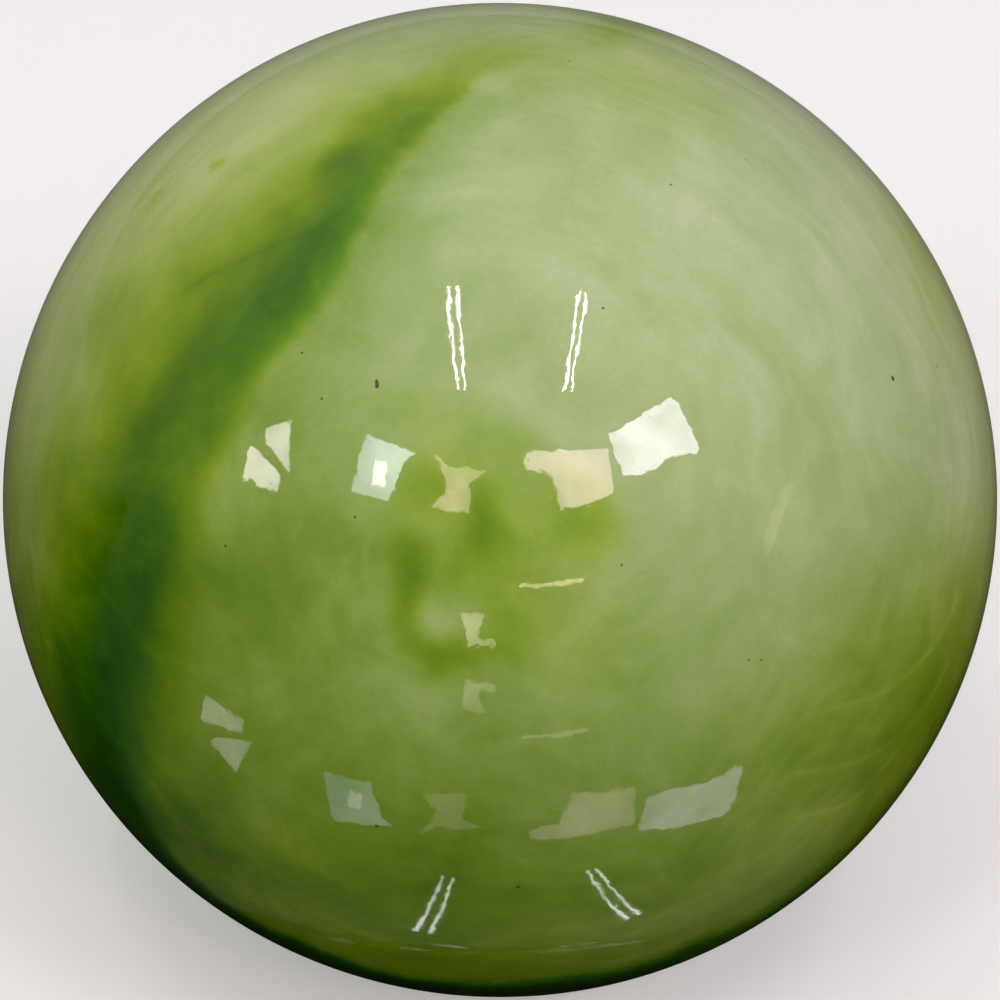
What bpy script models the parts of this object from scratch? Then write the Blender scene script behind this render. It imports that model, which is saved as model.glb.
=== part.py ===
"""A croquet ball of marbled cast resin, modelled the way such a ball is made.

A light core is moulded first, and a ribbed pin is glued into its socket. The pin holds the core in the
middle of the ball mould while the marbled cover is poured round them both. It is then cut back below the
surface, a plug of the cover resin closes the hole above it, and the whole ball is ground round and polished.

Every piece is turned about the pin's axis. That axis is local Z, and the empty pin_axis points it along +Y.
The origin is the centre of the ball. Units are metres, and +Z is up.
"""

import math

import bmesh
import bpy

# Driving dimensions
BALL_DIAMETER = 0.092075  # 3 5/8 inches, the regulation ball
COVER_WALL = 0.012  # cover resin between the core and the surface
BOND_GAP = 0.0003  # between any two pieces that are cast or glued together

SHANK_RADIUS = 0.004  # the pin where it crosses the cover
SPIGOT_RADIUS = 0.0028  # the pin where it stands in the core
SPIGOT_LENGTH = 0.018
SPIGOT_TIP_CHAMFER = 0.0008
COLLAR_RADIUS = 0.0065  # the shoulder that seats on the core and sets the wall
COLLAR_THICKNESS = 0.002

BARB_COUNT = 3  # saw-tooth rings that hold the spigot in the core
BARB_HEIGHT = 0.0006
BARB_RAMP = 0.0022
BARB_PITCH = 0.0042

GROOVE_COUNT = 2  # rings in the shank that the cover resin keys into
GROOVE_DEPTH = 0.0008
GROOVE_WIDTH = 0.0014
GROOVE_PITCH = 0.003

PLUG_RADIUS = 0.0055
PLUG_DEPTH = 0.003  # at its rim, where it meets the ball's surface
PLUG_CHAMFER = 0.0004  # round its inner end, for the glue

SOCKET_END_ROOM = 0.001  # air and glue under the spigot's tip
SOCKET_DRILL_POINT = math.radians(30)  # slope of the socket's drilled end

# How finely round shapes are divided
SURFACE_STEP = math.radians(6)  # along the ball's surface
INNER_STEP = math.radians(9)  # along the cavity, the core and the collar's top
PLUG_STEP = math.radians(2)  # along the plug's outer end
COVER_STEPS = 60  # round the axis
CORE_STEPS = 48
PIN_STEPS = 32
SMOOTH_UNDER = math.radians(30)  # edges flatter than this are shaded smooth

# What follows from them
BALL_RADIUS = BALL_DIAMETER / 2
CAVITY_RADIUS = BALL_RADIUS - COVER_WALL
CORE_RADIUS = CAVITY_RADIUS - BOND_GAP

FULL_TURN = 2 * math.pi
TOP, EQUATOR, BOTTOM = 0.0, math.pi / 2, math.pi  # angles from the axis, along a sphere's side


def height_on_sphere(sphere_radius, radius):
    """How far along the axis a sphere's surface lies, at this radius from the axis."""
    return math.sqrt(sphere_radius**2 - radius**2)


# Heights along the axis, from the ball's centre
COLLAR_TOP = height_on_sphere(CORE_RADIUS, COLLAR_RADIUS)
COLLAR_SEAT = COLLAR_TOP - COLLAR_THICKNESS
SPIGOT_TIP = COLLAR_SEAT - SPIGOT_LENGTH
PLUG_SEAT = height_on_sphere(BALL_RADIUS, PLUG_RADIUS) - PLUG_DEPTH
SHANK_BOTTOM = height_on_sphere(CORE_RADIUS, SHANK_RADIUS)
GROOVE_SPAN = (GROOVE_COUNT - 1) * GROOVE_PITCH + GROOVE_WIDTH
GROOVE_BOTTOM = (SHANK_BOTTOM + PLUG_SEAT - GROOVE_SPAN) / 2


def sphere_arc(sphere_radius, start, end, step):
    """Points (radius, height) along a sphere's side, from one angle from the axis to another."""
    count = max(1, round(abs(end - start) / step))
    angles = [start + (end - start) * i / count for i in range(count + 1)]
    return [(sphere_radius * math.sin(a), sphere_radius * math.cos(a)) for a in angles]


def angle_at(sphere_radius, radius):
    """The angle from the axis at which a sphere's side is this far out."""
    return math.asin(radius / sphere_radius)


def grooved_side(side_radius, clearance):
    """Points up the shank's side, through its grooves. With a clearance they lie that far outside it."""
    points = []
    for i in range(GROOVE_COUNT):
        low = GROOVE_BOTTOM + i * GROOVE_PITCH + clearance
        high = GROOVE_BOTTOM + i * GROOVE_PITCH + GROOVE_WIDTH - clearance
        floor_radius = side_radius - GROOVE_DEPTH
        points += [
            (side_radius, low),
            (floor_radius, low),
            (floor_radius, high),
            (side_radius, high),
        ]
    return points


def cover_profile():
    """The shell: up the cavity, out through the pin's bore and the plug's seat, and down the surface."""
    bore = SHANK_RADIUS + BOND_GAP
    seat = PLUG_RADIUS + BOND_GAP
    points = sphere_arc(CAVITY_RADIUS, BOTTOM, EQUATOR, INNER_STEP)
    points += sphere_arc(CAVITY_RADIUS, EQUATOR, angle_at(CAVITY_RADIUS, bore), INNER_STEP)[1:]
    points += grooved_side(bore, BOND_GAP)
    points += [(bore, PLUG_SEAT), (seat, PLUG_SEAT)]
    points += sphere_arc(BALL_RADIUS, angle_at(BALL_RADIUS, seat), EQUATOR, SURFACE_STEP)
    points += sphere_arc(BALL_RADIUS, EQUATOR, BOTTOM, SURFACE_STEP)[1:]
    return points


def core_profile():
    """The core: up its side to the collar's seat, and down the spigot's socket to the drilled end."""
    collar_hole = COLLAR_RADIUS + BOND_GAP
    socket = SPIGOT_RADIUS + BARB_HEIGHT + BOND_GAP
    seat = COLLAR_SEAT - BOND_GAP
    socket_end = SPIGOT_TIP - SOCKET_END_ROOM
    points = sphere_arc(CORE_RADIUS, BOTTOM, EQUATOR, INNER_STEP)
    points += sphere_arc(CORE_RADIUS, EQUATOR, angle_at(CORE_RADIUS, collar_hole), INNER_STEP)[1:]
    points += [
        (collar_hole, seat),
        (socket, seat),
        (socket, socket_end),
        (0.0, socket_end - socket * math.tan(SOCKET_DRILL_POINT)),
    ]
    return points


def pin_profile():
    """The pin: up the barbed spigot, round the collar, and up the grooved shank to where it is cut off."""
    points = [(0.0, SPIGOT_TIP), (SPIGOT_RADIUS - SPIGOT_TIP_CHAMFER, SPIGOT_TIP)]
    points.append((SPIGOT_RADIUS, SPIGOT_TIP + SPIGOT_TIP_CHAMFER))
    for i in range(BARB_COUNT):
        low = SPIGOT_TIP + BARB_RAMP + i * BARB_PITCH
        points += [
            (SPIGOT_RADIUS, low),
            (SPIGOT_RADIUS + BARB_HEIGHT, low + BARB_RAMP),
            (SPIGOT_RADIUS, low + BARB_RAMP),
        ]
    points += [(SPIGOT_RADIUS, COLLAR_SEAT), (COLLAR_RADIUS, COLLAR_SEAT)]
    collar_rim = angle_at(CORE_RADIUS, COLLAR_RADIUS)
    points += sphere_arc(CORE_RADIUS, collar_rim, angle_at(CORE_RADIUS, SHANK_RADIUS), INNER_STEP)
    points += grooved_side(SHANK_RADIUS, 0.0)
    points += [(SHANK_RADIUS, PLUG_SEAT), (0.0, PLUG_SEAT)]
    return points


def plug_profile():
    """The plug: a short cylinder, chamfered inside and ground to the ball's own curve outside."""
    base = PLUG_SEAT + BOND_GAP
    points = [
        (0.0, base),
        (PLUG_RADIUS - PLUG_CHAMFER, base),
        (PLUG_RADIUS, base + PLUG_CHAMFER),
    ]
    points += sphere_arc(BALL_RADIUS, angle_at(BALL_RADIUS, PLUG_RADIUS), TOP, PLUG_STEP)
    return points


def finish(name, colour, roughness):
    """A plain material. The colour is linear red, green and blue."""
    material = bpy.data.materials.new(name)
    material.use_nodes = True
    shader = material.node_tree.nodes["Principled BSDF"]
    shader.inputs["Base Color"].default_value = (*colour, 1.0)
    shader.inputs["Roughness"].default_value = roughness
    shader.inputs["Metallic"].default_value = 0.0
    return material


def turned(name, profile, steps, material, axis):
    """One closed solid, spun from a profile whose two ends lie on the axis."""
    shape = bmesh.new()
    corners = [shape.verts.new((radius, 0.0, height)) for radius, height in profile]
    sides = [shape.edges.new(pair) for pair in zip(corners, corners[1:])]
    bmesh.ops.spin(
        shape,
        geom=corners + sides,
        cent=(0.0, 0.0, 0.0),
        axis=(0.0, 0.0, 1.0),
        angle=FULL_TURN,
        steps=steps,
        use_merge=True,
    )
    bmesh.ops.remove_doubles(shape, verts=shape.verts, dist=1e-7)
    bmesh.ops.recalc_face_normals(shape, faces=shape.faces)
    mesh = bpy.data.meshes.new(name)
    shape.to_mesh(mesh)
    shape.free()
    mesh.shade_smooth()
    mesh.set_sharp_from_angle(angle=SMOOTH_UNDER)
    mesh.materials.append(material)
    piece = bpy.data.objects.new(name, mesh)
    piece.parent = axis
    bpy.context.scene.collection.objects.link(piece)
    return piece


def build():
    for old in list(bpy.data.objects):
        bpy.data.objects.remove(old)
    pin_axis = bpy.data.objects.new("pin_axis", None)
    pin_axis.rotation_euler = (-math.pi / 2, 0.0, 0.0)
    bpy.context.scene.collection.objects.link(pin_axis)

    marbled_resin = finish("marbled_resin", (0.42, 0.50, 0.23), 0.05)
    plug_resin = finish("plug_resin", (0.30, 0.42, 0.12), 0.05)
    core_filler = finish("core_filler", (0.52, 0.38, 0.22), 0.85)
    pin_nylon = finish("pin_nylon", (0.80, 0.76, 0.66), 0.45)

    turned("cover", cover_profile(), COVER_STEPS, marbled_resin, pin_axis)
    turned("core", core_profile(), CORE_STEPS, core_filler, pin_axis)
    turned("core_pin", pin_profile(), PIN_STEPS, pin_nylon, pin_axis)
    turned("pin_plug", plug_profile(), PIN_STEPS, plug_resin, pin_axis)


build()
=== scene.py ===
"""The looks of a croquet ball in marbled cast resin: cover, plug, core and pin, on a plain studio floor."""

import math

import bmesh
import bpy
import numpy as np
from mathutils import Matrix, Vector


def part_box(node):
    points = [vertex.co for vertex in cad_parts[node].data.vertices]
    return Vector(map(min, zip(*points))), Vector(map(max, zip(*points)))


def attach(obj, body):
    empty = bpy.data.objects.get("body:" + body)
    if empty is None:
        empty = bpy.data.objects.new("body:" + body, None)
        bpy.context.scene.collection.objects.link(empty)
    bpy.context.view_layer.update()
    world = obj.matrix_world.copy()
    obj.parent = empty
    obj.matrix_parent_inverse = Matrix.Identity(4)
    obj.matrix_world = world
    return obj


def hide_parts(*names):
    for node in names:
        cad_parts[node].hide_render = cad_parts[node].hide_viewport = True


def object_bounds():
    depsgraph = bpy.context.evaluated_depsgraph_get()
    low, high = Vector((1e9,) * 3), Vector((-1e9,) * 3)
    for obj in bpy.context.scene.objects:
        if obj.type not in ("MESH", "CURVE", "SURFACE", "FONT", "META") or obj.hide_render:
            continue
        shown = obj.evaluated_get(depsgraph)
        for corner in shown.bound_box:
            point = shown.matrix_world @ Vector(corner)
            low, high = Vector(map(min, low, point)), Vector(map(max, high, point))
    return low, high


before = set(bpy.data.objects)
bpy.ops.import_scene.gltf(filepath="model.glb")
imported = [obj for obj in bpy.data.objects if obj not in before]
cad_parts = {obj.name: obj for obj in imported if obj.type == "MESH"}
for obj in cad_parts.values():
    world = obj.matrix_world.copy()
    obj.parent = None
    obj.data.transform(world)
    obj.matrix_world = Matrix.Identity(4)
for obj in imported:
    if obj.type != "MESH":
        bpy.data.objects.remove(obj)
cad_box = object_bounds()
BODY = "root"  # nothing on a ball moves against anything else
MM = 0.001

# ---------------------------------------------------------------------------------------------------------
# Cover
# The shell is polyester resin, poured in two or three batches that are dyed differently and barely stirred.
# It is cast round the core in a ball mould, then ground to size and buffed on a wheel until it is glossy.
# ---------------------------------------------------------------------------------------------------------

low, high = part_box("cover")
BALL_RADIUS = (high.x - low.x) / 2
WALL = 12 * MM
PLUG_SEAT_RADIUS = 5.6 * MM
PLUG_SEAT_DEPTH = 3.2 * MM
PIN_BORE_RADIUS = 4.3 * MM
RINGS = 200  # from the plug to the far side, about 0.7 mm apart
CAVITY_RINGS = 30
STEPS_ROUND = 384
SHARP_FROM = math.radians(30)  # edges flatter than this are shaded smooth


def ball_arc(radius, start, end, count):
    """Points (distance from the pin's axis, height along it) on a sphere's side, between two angles."""
    angles = np.linspace(start, end, count + 1)
    return [(radius * math.sin(a), radius * math.cos(a)) for a in angles]


def turned(name, profile, steps):
    """A closed solid, spun round the pin's axis from a profile of (distance from the axis, height)."""
    shape = bmesh.new()
    corners = [shape.verts.new((out, along, 0.0)) for out, along in profile]
    sides = [shape.edges.new(pair) for pair in zip(corners, corners[1:])]
    bmesh.ops.spin(
        shape,
        geom=corners + sides,
        cent=(0, 0, 0),
        axis=(0, 1, 0),
        angle=2 * math.pi,
        steps=steps,
        use_merge=True,
    )
    bmesh.ops.remove_doubles(shape, verts=shape.verts, dist=1e-7)
    bmesh.ops.recalc_face_normals(shape, faces=shape.faces)
    mesh = bpy.data.meshes.new(name)
    shape.to_mesh(mesh)
    shape.free()
    mesh.shade_smooth()
    mesh.set_sharp_from_angle(angle=SHARP_FROM)
    piece = bpy.data.objects.new(name, mesh)
    bpy.context.scene.collection.objects.link(piece)
    return piece


rim = math.asin(PLUG_SEAT_RADIUS / BALL_RADIUS)
seat_height = BALL_RADIUS * math.cos(rim) - PLUG_SEAT_DEPTH
cavity = BALL_RADIUS - WALL
cover_profile = ball_arc(cavity, math.pi, math.asin(PIN_BORE_RADIUS / cavity), CAVITY_RINGS)
cover_profile += [(PIN_BORE_RADIUS, seat_height), (PLUG_SEAT_RADIUS, seat_height)]
cover_profile += ball_arc(BALL_RADIUS, rim, math.pi, RINGS)
cover = turned("marbled_cover", cover_profile, STEPS_ROUND)

# Where the dyed batches lie. Every path and cloud is placed in degrees round from the front to the right
# and degrees up. A path's row goes on with its width in mm to the left of the way that it runs, its width
# to the right, and its strength. Each dye mix is (green, yellow, deep green).

OLIVE = (1, 4, 0)
PALE_OLIVE = (1, 2, 0)
DARK_OLIVE = (1, 3, 0.4)
LIME = (0.9, 3.2, 0.12)
PLAIN = (1, 0, 0)
YELLOW = (0, 1, 0)
DEEP = (0, 1.5, 1)

vein_body = [
    (140, 70, 3, 4, 0.08),
    (120, 82, 2, 3, 0.04),
    (-80, 87, 1.5, 2.5, 0.14),
    (-46, 79, 2.0, 3.6, 0.50),
    (-44, 72, 2.8, 4.6, 0.62),
    (-45, 66, 3.7, 4.3, 0.68),
    (-44, 60, 3.8, 4.8, 0.74),
    (-43, 53, 4.2, 6.2, 0.76),
    (-44, 47, 4.8, 7.8, 0.78),
    (-46, 41, 6.0, 7.4, 0.80),
    (-48, 35, 6.6, 7.0, 0.78),
    (-49, 29, 7.2, 6.4, 0.68),
    (-49, 23, 8.8, 7.2, 0.74),
    (-49, 16, 9.2, 7.8, 0.76),
    (-49, 9, 10.0, 7.8, 0.66),
    (-49, 1, 9.6, 8.6, 0.60),
    (-48, -7, 9, 9, 0.50),
    (-44, -14, 9, 8, 0.40),
    (-35, -20, 8, 8, 0.30),
]
vein_core_and_painted_bottom_shade = [
    (-39, 77, 1.2, 2.0, 0.05),
    (-39, 70, 1.6, 2.0, 0.15),
    (-37, 65, 1.8, 2.3, 0.28),
    (-36, 60, 1.9, 2.8, 0.42),
    (-36, 55, 2.0, 3.2, 0.44),
    (-37, 50, 2.2, 3.8, 0.40),
    (-39, 44, 2.8, 4.2, 0.30),
    (-43, 38, 3.6, 4.4, 0.16),
    (-45, 32, 3.6, 4.0, 0.18),
    (-44, 26, 4.2, 4.2, 0.26),
    (-45, 20, 4.2, 4.2, 0.36),
    (-46, 14, 4.8, 5.4, 0.52),
    (-47, 6, 5.2, 6.4, 0.62),
    (-49, -4, 5.4, 8.0, 0.70),
    (-50, -14, 4.8, 8.4, 1.00),
    # From here along the bottom the deep green is partly the vein and partly painted shade, the dark band
    # low on the ball where little light reaches from below
    (-49, -24, 4.0, 8.0, 1.40),
    (-39, -33, 4.2, 7.0, 1.80),
    (-22, -40, 5.6, 7.0, 2.20),
    (0, -43, 6.4, 7.0, 2.40),
    (22, -41, 6.4, 7.0, 1.60),
    (40, -34, 5.4, 7.0, 0.60),
    (56, -24, 4.4, 7.0, 0.20),
    (70, -12, 4.0, 6.0, 0.05),
]
back_vein = [
    (140, 70, 2, 3, 0.05),
    (150, 60, 3, 4, 0.25),
    (160, 48, 3, 5, 0.50),
    (166, 34, 4, 6, 0.70),
    (160, 20, 4, 6, 0.80),
    (148, 8, 4, 5, 0.60),
    (138, -6, 3, 5, 0.55),
    (130, -22, 4, 6, 0.70),
    (110, -40, 4, 6, 0.80),
    (70, -52, 4, 6, 0.60),
    (45, -46, 3, 6, 0.40),
]
back_body = [(az, up, 2.2 * left, 1.8 * right, 1.1 * much) for az, up, left, right, much in back_vein]
cool_edge = [
    (-28, 80, 3.0, 1.8, 0.24),
    (-30, 71, 3.0, 1.8, 0.34),
    (-30, 62, 3.2, 2.0, 0.34),
    (-30, 54, 3.2, 2.0, 0.26),
    (-30, 47, 3.4, 2.0, 0.24),
    (-33, 40, 3.2, 2.0, 0.14),
]
left_veil = [
    (-75, 70, 3.0, 3.0, 0.10),
    (-66, 62, 4.0, 4.0, 0.16),
    (-62, 55, 4.5, 4.5, 0.22),
    (-63, 48, 4.0, 4.5, 0.22),
    (-67, 40, 3.0, 4.0, 0.12),
]
underside_streak = [
    (-60, -48, 4, 6, 0.30),
    (-100, -40, 5, 7, 0.40),
    (-140, -32, 5, 8, 0.45),
    (-170, -16, 4, 6, 0.30),
    (175, 0, 3, 5, 0.20),
]
upper_smudge = [
    (-77.5, 56.8, 0.4, 0.4, 0.04),
    (-78.0, 57.8, 0.7, 0.7, 0.22),
    (-78.8, 58.8, 0.7, 0.7, 0.28),
    (-79.5, 60.3, 0.4, 0.4, 0.06),
]
lower_smudge = [
    (-82.0, 47.6, 0.4, 0.4, 0.04),
    (-82.4, 48.6, 0.6, 0.6, 0.18),
    (-83.0, 49.6, 0.6, 0.6, 0.20),
    (-83.6, 50.8, 0.4, 0.4, 0.04),
]
# Each streak's mix, how hard its left and right edges are, and its path
streaks = [
    (OLIVE, (5, 2.4), vein_body),
    (DEEP, (4, 2.4), vein_core_and_painted_bottom_shade),
    (DEEP, (4, 2.4), back_vein),
    (OLIVE, (5, 2.4), back_body),
    (PLAIN, (2, 3), cool_edge),
    (PALE_OLIVE, (2, 2), left_veil),
    (DARK_OLIVE, (2, 2), underside_streak),
    (OLIVE, (2, 2), upper_smudge),
    (OLIVE, (2, 2), lower_smudge),
]

# Clouds: degrees round, degrees up, radius in mm, and strength, which is less than 0 where dye is missing
front_cloud = [
    (-13, 43, 2.6, 0.08),
    (-4, 40, 2.8, 0.10),
    (2, 38.5, 2.4, 0.10),
    (-10, 35.5, 2.2, 0.28),
    (-2.5, 34.5, 2.2, 0.34),
    (-2, 31, 2.2, 0.32),
    (-5, 28, 2.8, 0.22),
    (-10.9, 28.7, 1.6, 0.34),
    (-10.6, 26, 1.6, 0.34),
    (-10.6, 22.8, 1.6, 0.28),
    (-10, 19.2, 1.7, 0.22),
    (-6.4, 17.8, 1.7, 0.34),
    (-3, 18.2, 1.6, 0.24),
    (0.5, 19, 1.7, 0.22),
    (1.6, 22, 1.6, 0.18),
    (4, 32, 3.0, 0.16),
    (9.6, 34.5, 2.2, 0.22),
    (10.2, 30.8, 2.2, 0.26),
    (13.5, 30, 2.0, 0.08),
    (0.5, 27, 3.0, 0.24),
    (5, 26, 3.4, 0.08),
]
vein_knees = [
    (-51, 67.5, 2.2, 0.30),
    (-44, 67, 2.2, 0.03),
    (-38, 27, 2.6, 0.14),
    (-62, 22, 3.4, 0.22),
    (-66, 27, 2.6, 0.14),
]
back_cloud = [
    (-128, 22, 6.0, 0.30),
    (-118, 12, 5.0, 0.35),
    (-134, 6, 7.0, 0.30),
    (-122, -6, 6.0, 0.25),
    (-145, 34, 5.0, 0.18),
    (96, 34, 6.0, 0.15),
    (104, 22, 7.0, 0.20),
    (98, -2, 8.0, 0.12),
]
washes = [
    (-12, 54, 12, 0.11),
    (0, 70, 9, 0.02),
    (-20, 60, 5, 0.10),
    (-24, 30, 11, 0.30),
    (-10, 18, 12, 0.04),
    (-31, 18, 7, 0.16),
    (-34, 12, 9, 0.12),
    (8, -5, 16, 0.03),
    (-15, 85, 12, 0.04),
    (-5, -18, 16, 0.18),
    (-35, -10, 10, 0.24),
    (15, 45, 14, 0.05),
    (-85, 30, 14, -0.22),
    (-95, 60, 14, -0.10),
    (85, 45, 16, -0.08),
    (80, 20, 14, -0.10),
    (38, 8, 10, 0.06),
    (25, -28, 12, -0.08),
    (-160, 55, 16, 0.10),
    (-100, -15, 14, 0.12),
    (-10, 88, 8, 0.18),
    (48, -3, 8, 0.18),
    (-8, -8, 10, 0.12),
    (-33, 22, 4, 0.10),
    (-7.4, 22.2, 1.7, -0.10),
    (13, 15, 8, 0.08),
    (16, -8, 5, 0.12),
    (40, -14, 6, -0.08),
    (-36, -18, 5, -0.10),
    (66, 16, 6, -0.14),
    (-66, 36, 7, 0.08),
    (34, -2, 6, 0.10),
    (-21, 26, 7, 0.08),
    (-68, 37, 9, 0.10),
    (75, 67, 8, 0.06),
    (-18, -13, 9, 0.10),
    (-78, 3, 6, -0.24),
    (76, 8, 8, -0.22),
    (20, 68, 14, -0.05),
    (-34, 81, 4, -0.18),
    (-57, 64, 4, 0.10),
]
yellow_washes = [
    (0, 90, 6, 0.30),
    (90, 75, 8, 0.35),
    (85, 30, 9, 0.30),
    (35, 0, 9, 0.50),
    (58, -6, 8, 0.70),
    (-15, -2, 10, 0.25),
    (-75, 5, 8, 0.60),
    (-75, 75, 8, 0.40),
    (7, 20, 5, 0.30),
    (-6, -22, 8, 0.45),
    (-9, 35, 4, 0.50),
    (-22, 26, 6, 0.20),
]
clouds = [
    (LIME, front_cloud),
    (LIME, vein_knees),
    (LIME, back_cloud),
    (PLAIN, washes),
    (YELLOW, yellow_washes),
]


def toward(azimuth, elevation):
    """Unit vectors. Azimuth is degrees round from the front to the right, elevation degrees up."""
    a, e = np.radians(azimuth), np.radians(elevation)
    return np.stack([np.sin(a) * np.cos(e), -np.cos(a) * np.cos(e), np.sin(e)], axis=-1)


def ripple(points, wavelength, seed, waves=20):
    """A smooth random field of about this wavelength: many plane waves that cross at all angles."""
    draw = np.random.default_rng(seed)
    ways = draw.normal(size=(waves, 3))
    ways /= np.linalg.norm(ways, axis=1, keepdims=True)
    ways *= 2 * math.pi / wavelength * draw.uniform(0.6, 1.5, (waves, 1))
    return np.sin(points @ ways.T + draw.uniform(0, 2 * math.pi, waves)).sum(1) * math.sqrt(2 / waves)


def along(path, per_span=10):
    """A path's points in space and its other numbers, on one smooth curve through its rows."""
    path = np.array(path, float)
    knots = np.column_stack([toward(path[:, 0], path[:, 1]), path[:, 2:]])
    ends = np.vstack([2 * knots[0] - knots[1], knots, 2 * knots[-1] - knots[-2]])
    rows = []
    for a, b, c, d in zip(ends, ends[1:], ends[2:], ends[3:]):
        for t in np.linspace(0, 1, per_span, endpoint=False):
            bend = (2 * a - 5 * b + 4 * c - d) * t**2 + (3 * b - a - 3 * c + d) * t**3
            rows.append(b + 0.5 * ((c - a) * t + bend))
    rows = np.array([*rows, knots[-1]])
    rows[:, :3] /= np.linalg.norm(rows[:, :3], axis=1, keepdims=True)
    return rows


def from_path(points, path):
    """Distance in mm to a path, how much of it is to the path's right, and the path's numbers there."""
    line = along(path)
    closeness = points @ line[:, :3].T
    nearest = closeness.argmax(1)
    distance = BALL_RADIUS / MM * np.arccos(np.clip(closeness.max(1), -1, 1))
    right = np.cross(np.gradient(line[:, :3], axis=0), line[:, :3])
    right /= np.linalg.norm(right, axis=1, keepdims=True)
    rightward = BALL_RADIUS / MM * ((points - line[nearest, :3]) * right[nearest]).sum(1)
    return distance, rightward, line[nearest, 3:].T


def streak(points, path, edges):
    """The dye that a streak leaves at each point. It is full in the middle and fades at its width, the
    faster the harder its edge is on that side."""
    distance, rightward, (left, right, strength) = from_path(points, path)
    share = np.clip(0.5 + 0.5 * rightward / np.maximum(distance, 1e-6), 0, 1)
    width = left * (1 - share) + right * share
    edge = edges[0] * (1 - share) + edges[1] * share
    return strength * np.exp(-((distance / width) ** edge))


def cloud(points, azimuth, elevation, radius, strength):
    """The dye that a round soft cloud leaves at each point. A third of it is left at its radius."""
    distance = BALL_RADIUS / MM * np.arccos(np.clip(points @ toward(azimuth, elevation), -1, 1))
    return strength * np.exp(-((distance / radius) ** 2))


def rise(start, end, x):
    """0 before start, 1 after end, and smooth between them."""
    t = np.clip((x - start) / (end - start), 0, 1)
    return t * t * (3 - 2 * t)


def dyes_and_painted_shade(unit):
    """Green, yellow and deep green dye at each point of a unit sphere, with painted shade in the deep green
    along the bottom.
    """
    at = unit * BALL_RADIUS / MM
    # Stirring moved everything about, by half a millimetre every 14 mm and by a little every 5 mm
    drift = 0.5 * np.stack([ripple(at, 14, seed) for seed in (1, 2, 3)], -1)
    drift += 0.12 * np.stack([ripple(at, 5, seed) for seed in (4, 5, 6)], -1)
    drifted = at + drift
    drifted /= np.linalg.norm(drifted, axis=1, keepdims=True)
    across, _, up = unit.T
    amount = np.zeros((len(unit), 3))
    # Greener towards the bottom, and yellower on the left, the underside and the right
    amount[:, 0] = 0.14 + 0.52 * rise(0.85, -0.35, up + 0.12 * across)
    amount[:, 1] = 0.45 * rise(-0.1, -0.8, across)
    amount[:, 1] += 1.2 * rise(0.3, -0.3, across) * rise(0.0, -0.35, up)
    amount[:, 1] += 0.5 * rise(0.0, -0.3, up)
    amount[:, 1] += 0.7 * rise(0.5, 0.8, across) * rise(0.4, 0.0, up)
    for mix, edges, path in streaks:
        amount += np.outer(streak(drifted, path, edges), mix)
    for mix, places in clouds:
        for place in places:
            amount += np.outer(cloud(drifted, *place), mix)
    return amount


# Hair lines, where one batch folded over another: pale ones, then dark ones
pale_lines = [
    [(35, -9.5), (43, -11.5), (50.5, -8)],
    [(39, 4), (45.5, 2.5), (51.5, 2.5), (57, 3.5), (60.5, 5.5)],
    [(34, -2.5), (41.5, -5), (48, -6), (55, -5), (59, -2)],
    [(-60.5, 0.5), (-54.5, 0.5), (-51, -2), (-47.5, -4), (-41.5, -8), (-38.5, -14)],
    [(-54, 14.5), (-47.5, 13), (-40.5, 10)],
    [(120, 30), (112, 12), (100, -4), (95, -20)],
    [(-150, 20), (-135, 14), (-120, 16), (-105, 26)],
]
dark_lines = [
    [(-38, 63), (-41.5, 59), (-48.5, 54.5), (-54, 50), (-56.5, 47)],
]


def nearest_line(unit, lines):
    """Per point: mm to the right of the nearest line, mm from it in any direction, and 0."""
    found = [from_path(unit, line)[:2] for line in lines]
    distances = np.array([distance for distance, _ in found])
    nearest = distances.argmin(0)[None]
    rightward = np.take_along_axis(np.array([right for _, right in found]), nearest, 0)[0]
    distance = np.take_along_axis(distances, nearest, 0)[0]
    return np.column_stack([rightward, distance, np.zeros(len(unit))])


def write_to_points(mesh, name, values):
    mesh.attributes.new(name, "FLOAT_VECTOR", "POINT").data.foreach_set("vector", values.ravel())


def stain(piece, more=(0, 0, 0)):
    """Writes the dye amounts, with the painted shade along the bottom, and the hair lines to the piece's
    points, each from its place on the ball. More is what its own pour has of each dye beyond the cover's."""
    mesh = piece.data
    at = np.empty(3 * len(mesh.vertices))
    mesh.vertices.foreach_get("co", at)
    at = at.reshape(-1, 3)
    unit = at / np.maximum(np.linalg.norm(at, axis=1, keepdims=True), 1e-9)
    write_to_points(mesh, "dyes_and_painted_shade", dyes_and_painted_shade(unit) + more)
    write_to_points(mesh, "pale_lines", nearest_line(unit, pale_lines))
    write_to_points(mesh, "dark_lines", nearest_line(unit, dark_lines))


stain(cover)


def linear(hex_colour):
    """An sRGB hex colour as linear red, green, blue and alpha."""
    values = [int(hex_colour[i : i + 2], 16) / 255 for i in (1, 3, 5)]
    return (*(v / 12.92 if v <= 0.04045 else ((v + 0.055) / 1.055) ** 2.4 for v in values), 1.0)


def node(tree, kind, settings=(), **links):
    """Adds a node and gives its first output. Settings are its properties. Links are its inputs, by name or
    as _0, _1 and so on, each a value or another node's output."""
    made = tree.nodes.new(kind)
    for name, value in dict(settings).items():
        setattr(made, name, value)
    for name, value in links.items():
        socket = made.inputs[int(name[1:])] if name[0] == "_" else made.inputs[name.replace("_", " ")]
        if isinstance(value, bpy.types.NodeSocket):
            tree.links.new(value, socket)
        else:
            socket.default_value = value
    return made.outputs[0]


def material(name):
    """A new material, its nodes and its shader."""
    made = bpy.data.materials.new(name)
    made.use_nodes = True
    return made, made.node_tree, made.node_tree.nodes["Principled BSDF"]


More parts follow.
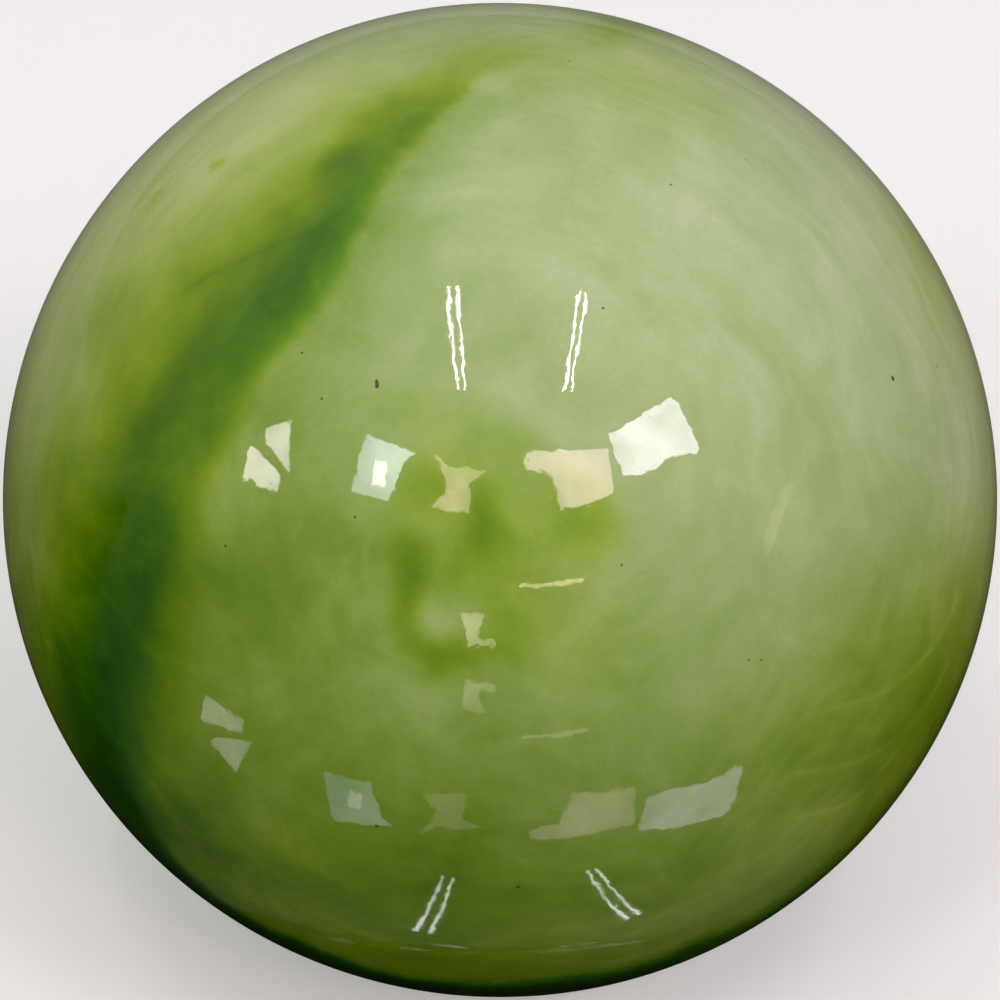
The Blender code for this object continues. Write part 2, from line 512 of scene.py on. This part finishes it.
# Cast polyester, marbled and polished. The resin is clear and a little milky, and the dyes take light out
# of it: a little dye gives a pale cool green, more gives olive and then a green with no blue left in it.
# The buffing leaves a wet gloss, but the wheel's wander bends straight reflections into ripples.
resin, tree, shader = material("cast_polyester_marbled_polished")
place = node(tree, "ShaderNodeTexCoord").node.outputs["Object"]
place = node(tree, "ShaderNodeVectorMath", {"operation": "SCALE"}, Vector=place, Scale=1 / MM)
bend = node(tree, "ShaderNodeTexNoise", Vector=place, Scale=1 / 18, Detail=2.0).node.outputs["Color"]
bend = node(tree, "ShaderNodeVectorMath", {"operation": "SUBTRACT"}, _0=bend, _1=(0.5, 0.5, 0.5))
bend = node(tree, "ShaderNodeVectorMath", {"operation": "SCALE"}, Vector=bend, Scale=10.0)
bent = node(tree, "ShaderNodeVectorMath", {"operation": "ADD"}, _0=place, _1=bend)

# Cloudiness every 7 mm or so, and threads 1.4 mm thick that the stirring drew out to ten times that
cloudy = node(tree, "ShaderNodeTexNoise", Vector=bent, Scale=1 / 7, Detail=5.0, Roughness=0.6)
lean = (math.radians(55), 0.0, 0.0)  # the pour set with its layers tilted this far forward
drawn = node(
    tree,
    "ShaderNodeMapping",
    {"vector_type": "TEXTURE"},
    Vector=bent,
    Rotation=lean,
    Scale=(14.0, 14.0, 1.4),
)
threads = node(tree, "ShaderNodeTexNoise", Vector=drawn, Scale=1.0, Detail=3.0, Roughness=0.5)
grain = node(tree, "ShaderNodeTexNoise", Vector=place, Scale=1 / 0.45, Detail=2.0)


TIMES, TIMES_PLUS, PLUS = {"operation": "MULTIPLY"}, {"operation": "MULTIPLY_ADD"}, {"operation": "ADD"}
LESS, OVER, TO_THE = {"operation": "SUBTRACT"}, {"operation": "DIVIDE"}, {"operation": "POWER"}
LOWER, HIGHER = {"operation": "MINIMUM"}, {"operation": "MAXIMUM"}


def hair_lines(attribute, width, strength):
    """Strength on the lines, less beside them. The line's width in mm is where it has fallen to a third."""
    lines = node(tree, "ShaderNodeAttribute", {"attribute_name": attribute}).node.outputs["Vector"]
    lines = node(tree, "ShaderNodeSeparateXYZ", Vector=lines).node.outputs
    widths_away = node(tree, "ShaderNodeMath", OVER, _0=lines["X"], _1=width)
    fall = node(tree, "ShaderNodeMath", TO_THE, _0=widths_away, _1=2.0)
    fall = node(tree, "ShaderNodeMath", PLUS, _0=fall, _1=1.0)
    shade = node(tree, "ShaderNodeMath", OVER, _0=strength, _1=fall)
    near = node(
        tree,
        "ShaderNodeMapRange",
        {"interpolation_type": "SMOOTHSTEP"},
        Value=lines["Y"],
        From_Min=0.4,
        From_Max=1.6,
        To_Min=1.0,
        To_Max=0.0,
    )
    return node(tree, "ShaderNodeMath", TIMES, _0=shade, _1=near)


# Of the dye amounts, the deep green also carries painted shade along the bottom of the ball
dye = node(tree, "ShaderNodeAttribute", {"attribute_name": "dyes_and_painted_shade"}).node.outputs["Vector"]
dye = node(tree, "ShaderNodeSeparateXYZ", Vector=dye).node.outputs
UNEVEN = 0.9  # how far the cloudiness thins and thickens the dye, round an average of 1
patterns = [(cloudy, 0.22), (threads, 0.24), (grain, 0.10)]
patterns_average = sum(much for _, much in patterns) / 2
CLEAREST = -0.2  # the least green dye that a place can seem to have
unevenness = node(tree, "ShaderNodeMath", TIMES_PLUS, _0=cloudy, _1=UNEVEN, _2=1 - UNEVEN / 2)
green = node(tree, "ShaderNodeMath", TIMES_PLUS, _0=dye["X"], _1=unevenness, _2=-patterns_average)
for pattern, much in patterns:
    green = node(tree, "ShaderNodeMath", TIMES_PLUS, _0=pattern, _1=much, _2=green)
green = node(tree, "ShaderNodeMath", LESS, _0=green, _1=hair_lines("pale_lines", 0.35, 0.14))
green = node(tree, "ShaderNodeMath", PLUS, _0=green, _1=hair_lines("dark_lines", 0.30, 0.14))
green = node(tree, "ShaderNodeMath", HIGHER, _0=green, _1=CLEAREST)
deep = node(tree, "ShaderNodeMath", TIMES, _0=dye["Z"], _1=unevenness)

# What clear resin sends back of red, green and blue light, and what a unit of each dye takes out of that,
# as a power of e. Of blue, green dye takes out more for each unit the more there is of it.
colour = node(tree, "ShaderNodeCombineXYZ")
for channel, sent_back, by_green, more_by_green, by_deep, by_yellow in (
    ("X", 0.58, 1.5, 0.0, 2.3, 0.0),
    ("Y", 0.69, 1.0, 0.0, 1.0, 0.0),
    ("Z", 0.38, 2.2, 1.2, 6.0, 1.0),
):
    rate = node(tree, "ShaderNodeMath", TIMES_PLUS, _0=green, _1=more_by_green, _2=by_green)
    loss = node(tree, "ShaderNodeMath", TIMES, _0=green, _1=rate)
    loss = node(tree, "ShaderNodeMath", TIMES_PLUS, _0=deep, _1=by_deep, _2=loss)
    loss = node(tree, "ShaderNodeMath", TIMES_PLUS, _0=dye["Y"], _1=by_yellow, _2=loss)
    left = node(tree, "ShaderNodeMath", TO_THE, _0=math.exp(-1), _1=loss)
    left = node(tree, "ShaderNodeMath", TIMES, _0=left, _1=sent_back)
    tree.links.new(left, colour.node.inputs[channel])

# Specks of grit that were in the resin, at the surface: degrees round, degrees up, radius in mm
specks = [
    (-18, 45, 0.16),
    (-18.1, 45.25, 0.15),
    (-18.2, 45.5, 0.13),
    (61, 33.5, 0.22),
    (-31, 46.5, 0.09),
    (-25.5, 42.5, 0.10),
    (18, 53.5, 0.10),
    (-17.5, 31.5, 0.12),
    (14, 27, 0.09),
    (-13, -3, 0.16),
    (2, -11, 0.16),
    (-50, -9, 0.12),
    (-33, 25, 0.10),
    (-41, 5.5, 0.09),
    (46.5, 64.5, 0.09),
    (71.5, 61, 0.09),
    (97, 82.5, 0.09),
    (72, 29.5, 0.09),
    (27.5, 14, 0.09),
    (29, 13.5, 0.07),
    (-120, 40, 0.20),
    (-150, -10, 0.18),
    (115, 20, 0.18),
    (140, -5, 0.14),
]
RAGGED = 0.2  # mm that the resin's grain moves a speck's edge by
outside = 100.0  # mm from the nearest speck's edge
for azimuth, elevation, radius in specks:
    middle = toward(azimuth, elevation) * BALL_RADIUS / MM
    gap = node(tree, "ShaderNodeVectorMath", {"operation": "DISTANCE"}, _0=place, _1=middle)
    gap = gap.node.outputs["Value"]
    gap = node(tree, "ShaderNodeMath", LESS, _0=gap, _1=radius)
    outside = node(tree, "ShaderNodeMath", LOWER, _0=gap, _1=outside)
outside = node(tree, "ShaderNodeMath", LESS, _0=outside, _1=RAGGED / 2)
outside = node(tree, "ShaderNodeMath", TIMES_PLUS, _0=grain, _1=RAGGED, _2=outside)
speck = node(
    tree,
    "ShaderNodeMapRange",
    Value=outside,
    From_Min=-0.05,
    From_Max=0.05,
    To_Min=0.85,
    To_Max=0.0,
)
colour = node(
    tree,
    "ShaderNodeMix",
    {"data_type": "RGBA"},
    Factor=speck,
    _6=colour,
    _7=linear("#2a2c14"),
).node.outputs[2]

# Polishing: ripples 0.6 to 2.4 mm long and a few micrometres high, faint smears, and pits 0.1 mm across
RIPPLE_LENGTH = 2.4  # mm
RIPPLE_HEIGHT = 13e-6  # metres, for the whole range of the noise, of which it uses about a third
PIT_SPACING = 0.7  # mm
PIT_DEPTH = 1e-6  # metres
wander = node(tree, "ShaderNodeTexNoise", Vector=place, Scale=1 / RIPPLE_LENGTH, Detail=2.5, Roughness=0.6)
pits = node(tree, "ShaderNodeTexVoronoi", Vector=place, Scale=1 / PIT_SPACING)
pits = node(tree, "ShaderNodeMapRange", Value=pits, From_Min=0.06, From_Max=0.12, To_Min=1.0, To_Max=0.0)
smears = node(tree, "ShaderNodeTexNoise", Vector=drawn, Scale=0.5, Detail=4.0, Roughness=0.7)
gloss = node(
    tree,
    "ShaderNodeMapRange",
    Value=smears,
    From_Min=0.35,
    From_Max=0.7,
    To_Min=0.02,
    To_Max=0.05,
)
gloss = node(tree, "ShaderNodeMath", TIMES_PLUS, _0=pits, _1=0.25, _2=gloss)
ripples = node(tree, "ShaderNodeBump", Strength=1.0, Distance=RIPPLE_HEIGHT, Height=wander)
surface = node(
    tree,
    "ShaderNodeBump",
    {"invert": True},
    Strength=1.0,
    Distance=PIT_DEPTH,
    Height=pits,
    Normal=ripples,
)
tree.links.new(colour, shader.inputs["Base Color"])
tree.links.new(gloss, shader.inputs["Roughness"])
tree.links.new(surface, shader.inputs["Normal"])
shader.inputs["IOR"].default_value = 1.55

cover.data.materials.append(resin)
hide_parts("cover")
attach(cover, BODY)

# ---------------------------------------------------------------------------------------------------------
# Plug
# A short stub of the cover's own resin, from a later pour that came out greener. It is glued in over the
# pin and ground and polished with the ball, so only its fine round joint shows.
# ---------------------------------------------------------------------------------------------------------

PLUG_RADIUS = 5.5 * MM
PLUG_THICKNESS = 2.7 * MM  # at its rim
PLUG_CHAMFER = 0.4 * MM
PLUG_EDGE = 0.06 * MM  # the polish rounds its rim over by this much
PLUG_RINGS = 24
PLUG_STEPS_ROUND = 96
GREENER = (0.22, 0.8, 0.0)  # green, yellow and deep green dye beyond the cover's

plug_rim = math.asin((PLUG_RADIUS - PLUG_EDGE) / BALL_RADIUS)
plug_top = BALL_RADIUS * math.cos(plug_rim)
plug_base = plug_top - PLUG_THICKNESS
plug_profile = [
    (0.0, plug_base),
    (PLUG_RADIUS - PLUG_CHAMFER, plug_base),
    (PLUG_RADIUS, plug_base + PLUG_CHAMFER),
    (PLUG_RADIUS, plug_top - 2 * PLUG_EDGE),
]
plug_profile += ball_arc(BALL_RADIUS, plug_rim, 0.0, PLUG_RINGS)
plug = turned("resin_plug", plug_profile, PLUG_STEPS_ROUND)
stain(plug, more=GREENER)

# The same cast and polished polyester as the cover
plug_resin = resin.copy()
plug_resin.name = "cast_polyester_green_polished"
plug.data.materials.append(plug_resin)
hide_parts("pin_plug")
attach(plug, BODY)

# ---------------------------------------------------------------------------------------------------------
# Core
# A ball of ground cork and sawdust in a little cheap resin, pressed in a mould. It makes the ball light
# enough, and it is never seen.
# ---------------------------------------------------------------------------------------------------------

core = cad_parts["core"]

# Resin-bonded cork: dull grains 1 to 3 mm across, brown to bleached, with dark resin in the pits between
GRAIN_SIZE = 2.0  # mm
cork, tree, shader = material("resin_bonded_cork_moulded")
place = node(tree, "ShaderNodeTexCoord").node.outputs["Object"]
place = node(tree, "ShaderNodeVectorMath", {"operation": "SCALE"}, Vector=place, Scale=1 / MM)
grains = node(tree, "ShaderNodeTexVoronoi", Vector=place, Scale=1 / GRAIN_SIZE).node
to_edge = {"feature": "DISTANCE_TO_EDGE"}
joints = node(tree, "ShaderNodeTexVoronoi", to_edge, Vector=place, Scale=1 / GRAIN_SIZE)
joints = node(tree, "ShaderNodeMapRange", Value=joints, From_Min=0.02, From_Max=0.12)
shade = node(tree, "ShaderNodeSeparateXYZ", Vector=grains.outputs["Color"]).node.outputs["X"]
browns = node(tree, "ShaderNodeValToRGB", Fac=shade)
browns.node.color_ramp.elements[0].color = linear("#8a6038")
browns.node.color_ramp.elements[1].color = linear("#ffffff")
browns.node.color_ramp.elements.new(0.5).color = linear("#b98c58")
colour = node(
    tree,
    "ShaderNodeMix",
    {"data_type": "RGBA"},
    Factor=joints,
    _6=linear("#4a3220"),
    _7=browns,
).node.outputs[2]
tree.links.new(colour, shader.inputs["Base Color"])
bumps = node(tree, "ShaderNodeBump", Strength=1.0, Distance=0.15 * MM, Height=joints)
tree.links.new(bumps, shader.inputs["Normal"])
shader.inputs["Roughness"].default_value = 0.85
core.material_slots[0].material = cork

# ---------------------------------------------------------------------------------------------------------
# Pin
# Nylon rod, turned with barbs that grip the core and grooves that key into the cover. It holds the core in
# the middle of the ball mould while the cover sets.
# ---------------------------------------------------------------------------------------------------------

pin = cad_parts["core_pin"]

# Nylon, turned: a milky ivory, a little waxy, with the tool's fine rings across it
RING_SPACING = 0.2  # mm
BANDS_AT_SCALE_1 = math.pi / 10  # how far apart the wave node puts them
nylon, tree, shader = material("nylon_natural_turned")
place = node(tree, "ShaderNodeTexCoord").node.outputs["Object"]
place = node(tree, "ShaderNodeVectorMath", {"operation": "SCALE"}, Vector=place, Scale=1 / MM)
rings = node(
    tree,
    "ShaderNodeTexWave",
    {"bands_direction": "Y"},
    Vector=place,
    Scale=BANDS_AT_SCALE_1 / RING_SPACING,
    Distortion=0.6,
    Detail=2.0,
)
clouds_in_nylon = node(tree, "ShaderNodeTexNoise", Vector=place, Scale=1 / 5, Detail=3.0)
milk = node(
    tree,
    "ShaderNodeMix",
    {"data_type": "RGBA"},
    Factor=clouds_in_nylon,
    _6=linear("#e2dccb"),
    _7=linear("#f0ece0"),
).node.outputs[2]
tree.links.new(milk, shader.inputs["Base Color"])
marks = node(tree, "ShaderNodeBump", Strength=1.0, Distance=0.01 * MM, Height=rings)
tree.links.new(marks, shader.inputs["Normal"])
wax = node(tree, "ShaderNodeMapRange", Value=rings, From_Min=0.0, From_Max=1.0, To_Min=0.38, To_Max=0.5)
tree.links.new(wax, shader.inputs["Roughness"])
shader.inputs["IOR"].default_value = 1.53
pin.material_slots[0].material = nylon

# ---------------------------------------------------------------------------------------------------------
# Studio
# A plain pale floor, on a polished table that only the ball sees, painted near black with shade beside the
# ball and pale with daylight behind it. Round it stand a room's windows, and two tube fittings hang from
# its ceiling.
# They too show only as the ball reflects them.
# ---------------------------------------------------------------------------------------------------------

FLOOR_HEIGHT = cad_box[0].z


def link_mesh(name, shape):
    """A studio object of this shape, linked into the scene."""
    mesh = bpy.data.meshes.new(name)
    shape.to_mesh(mesh)
    shape.free()
    piece = bpy.data.objects.new(name, mesh)
    bpy.context.scene.collection.objects.link(piece)
    return piece


def sheet(name, height, size):
    """A level square sheet, with its material's nodes and shader."""
    shape = bmesh.new()
    bmesh.ops.create_grid(shape, x_segments=1, y_segments=1, size=size / 2)
    piece = link_mesh(name, shape)
    piece.location.z = height
    finish, tree, shader = material(name)
    piece.data.materials.append(finish)
    return piece, tree, shader


# The floor glows a little, so that it stays pale, and it is hidden from everything but the camera
BACKDROP = linear("#f4f4f2")
floor, _, shader = sheet("pale_floor", FLOOR_HEIGHT, 12.0)
shader.inputs["Base Color"].default_value = BACKDROP
shader.inputs["Roughness"].default_value = 0.9
shader.inputs["Emission Color"].default_value = BACKDROP
shader.inputs["Emission Strength"].default_value = 0.25
floor.visible_diffuse = False
floor.visible_glossy = False
floor.visible_shadow = False

# Varnished wood, with its light painted on: near black with painted shade beside the ball, and paler behind
# it with painted daylight. It mirrors the room in front of the ball only.
table, tree, shader = sheet("polished_table_painted_shade", FLOOR_HEIGHT - 0.5 * MM, 5.0)
place = node(tree, "ShaderNodeTexCoord").node.outputs["Object"]
metres_back = node(tree, "ShaderNodeSeparateXYZ", Vector=place).node.outputs["Y"]
back = node(tree, "ShaderNodeMapRange", Value=metres_back, From_Min=-0.05, From_Max=1.2)
table_painted_shade_and_light = node(tree, "ShaderNodeValToRGB", Fac=back)
table_painted_shade_and_light.node.color_ramp.elements[0].color = linear("#15120a")
table_painted_shade_and_light.node.color_ramp.elements[1].color = linear("#d0d0c8")
for position, colour in ((0.06, "#241f16"), (0.12, "#746e64"), (0.20, "#8c8880")):
    table_painted_shade_and_light.node.color_ramp.elements.new(position).color = linear(colour)
mirroring = node(
    tree,
    "ShaderNodeMapRange",
    Value=metres_back,
    From_Min=-0.045,
    From_Max=-0.01,
    To_Min=0.5,
    To_Max=0.0,
)
tree.links.new(table_painted_shade_and_light, shader.inputs["Base Color"])
tree.links.new(mirroring, shader.inputs["Specular IOR Level"])
shader.inputs["Roughness"].default_value = 0.03
shader.inputs["IOR"].default_value = 2.6
table.visible_camera = False


def lit(name, outlines, radiance, colour):
    """Flat shapes that shine a little unevenly, as daylight does. An outline is a list of its corners."""
    shape = bmesh.new()
    for corners in outlines:
        shape.faces.new([shape.verts.new(corner) for corner in corners])
    piece = link_mesh(name, shape)
    finish, tree, shader = material(name)
    shader.inputs["Base Color"].default_value = (0, 0, 0, 1)
    shader.inputs["Specular IOR Level"].default_value = 0.0
    shader.inputs["Emission Color"].default_value = linear(colour)
    place = node(tree, "ShaderNodeTexCoord").node.outputs["Object"]
    patchy = node(tree, "ShaderNodeTexNoise", Vector=place, Scale=1 / 0.3, Detail=3.0)
    patchy = node(
        tree,
        "ShaderNodeMapRange",
        Value=patchy,
        From_Min=0.35,
        From_Max=0.65,
        To_Min=0.75 * radiance,
        To_Max=1.2 * radiance,
    )
    tree.links.new(patchy, shader.inputs["Emission Strength"])
    piece.data.materials.append(finish)
    piece.visible_camera = False
    return piece


# The room's windows and what else is bright in it, part hidden by what stands before them: radiance,
# colour, and outlines in degrees round and degrees up
windows = {
    "window_a": (11, "#fff0f4", [
        [(-67, 31), (-62.5, 36), (-55, 27.5), (-57, 28), (-65, 29.5)],
        [(-68, 27), (-66.5, 27.5), (-57, 26), (-56, 23), (-65, 21)],
    ]),
    "window_b": (8.5, "#ecf0ff", [
        [(-40.5, 42.5), (-31, 42.5), (-25, 42), (-27.5, 40), (-28, 30.5), (-38.5, 30)],
    ]),
    "window_b_lamp": (17, "#f4f4ff", [
        [(-35, 38), (-32, 38.5), (-30.5, 34), (-33.5, 33)],
    ]),
    "window_c": (6, "#ffe0d0", [
        [(-19, 43), (-14.5, 41), (-3.5, 41), (-8.5, 38), (-7.5, 31), (-17, 31.5), (-14, 36.5)],
    ]),
    "window_d": (8.5, "#ffdce0", [
        [(7.5, 44), (9.5, 44.5), (32, 42), (29.5, 32), (15.5, 31.5), (14, 39.5), (7, 41.5)],
    ]),
    "window_e": (12, "#f6ecff", [
        [(33.5, 44.5), (56.5, 44.5), (57.5, 43.5), (55.5, 33), (53.5, 32.5), (46.5, 35), (40.5, 34),
         (33, 35)],
    ]),
    "door_gap": (7, "#ffe8c0", [
        [(4.5, 15.5), (18, 15), (18.5, 16), (4.5, 16.5)],
    ]),
    "wall_patch": (1.3, "#fff4e0", [
        [(72.5, 16), (72.5, 14), (65.5, 10.5), (60.5, 6), (60.5, 9.5), (65, 14)],
    ]),
    "far_sign": (5, "#fff4d8", [
        [(-8, 9.5), (-3, 10), (-4.5, 6.5), (-4, 4.5), (-1, 4.5), (-1, 3), (-7, 2.5)],
    ]),
}
WINDOW_DISTANCE = 2.0
LAYER_GAP = 0.02  # each is this much nearer than the one before, so that a lamp stands before its window
for order, (name, (radiance, colour, outlines)) in enumerate(windows.items()):
    distance = WINDOW_DISTANCE - LAYER_GAP * order
    shapes = [[distance * toward(*corner) for corner in outline] for outline in outlines]
    lit(name, shapes, radiance, colour)

# Two fluorescent fittings overhead, each with two tubes that run away from the camera. Their places and
# widths are in heights of the ceiling.
CEILING = 2.5
FITTINGS = {"left_fitting": -0.167, "right_fitting": 0.297}
TUBE_OFFSET = 0.016  # from the middle of its fitting
TUBE_HALF_WIDTH = 0.0042
TUBE_NEAR, TUBE_FAR = -0.61, -0.13
TUBE_RADIANCE = 32
for name, across in FITTINGS.items():
    shapes = []
    for middle in (across - TUBE_OFFSET, across + TUBE_OFFSET):
        left, right = middle - TUBE_HALF_WIDTH, middle + TUBE_HALF_WIDTH
        corners = [(left, TUBE_NEAR), (right, TUBE_NEAR), (right, TUBE_FAR), (left, TUBE_FAR)]
        shapes.append([(x * CEILING, y * CEILING, CEILING) for x, y in corners])
    lit(name, shapes, TUBE_RADIANCE, "#ffffff")

# The room's own light is dim and warm low down, and even near the ceiling. The camera sees a plain
# backdrop.
world = bpy.data.worlds.new("room")
bpy.context.scene.world = world
world.use_nodes = True
tree = world.node_tree
background = tree.nodes["Background"]
place = node(tree, "ShaderNodeTexCoord").node.outputs["Generated"]
up = node(tree, "ShaderNodeSeparateXYZ", Vector=place).node.outputs["Z"]
ramp = node(tree, "ShaderNodeValToRGB", Fac=up)
ramp.node.color_ramp.elements[0].color = (0.15, 0.145, 0.11, 1)
ramp.node.color_ramp.elements[1].position = 0.8
ramp.node.color_ramp.elements[1].color = (0.35, 0.35, 0.35, 1)
tree.links.new(ramp, background.inputs["Color"])
background.inputs["Strength"].default_value = 1.2
backdrop = node(tree, "ShaderNodeBackground", Color=BACKDROP, Strength=1.0)
seen = node(tree, "ShaderNodeLightPath").node.outputs["Is Camera Ray"]
both = node(tree, "ShaderNodeMixShader", _0=seen, _1=background.outputs["Background"], _2=backdrop)
tree.links.new(both, tree.nodes["World Output"].inputs["Surface"])

CAMERA_DISTANCE = 0.35
CAMERA_ELEVATION = 34.5
FOCAL_LENGTH = 134.9  # mm, with which the ball just fills the picture
lens = bpy.data.cameras.new("camera")
lens.sensor_width = 36.0
lens.lens = FOCAL_LENGTH
camera = bpy.data.objects.new("camera", lens)
camera.location = CAMERA_DISTANCE * toward(0, CAMERA_ELEVATION)
camera.rotation_euler = (math.radians(90 - CAMERA_ELEVATION), 0, 0)
bpy.context.scene.collection.objects.link(camera)
bpy.context.scene.camera = camera
bpy.context.scene.view_settings.view_transform = "Standard"
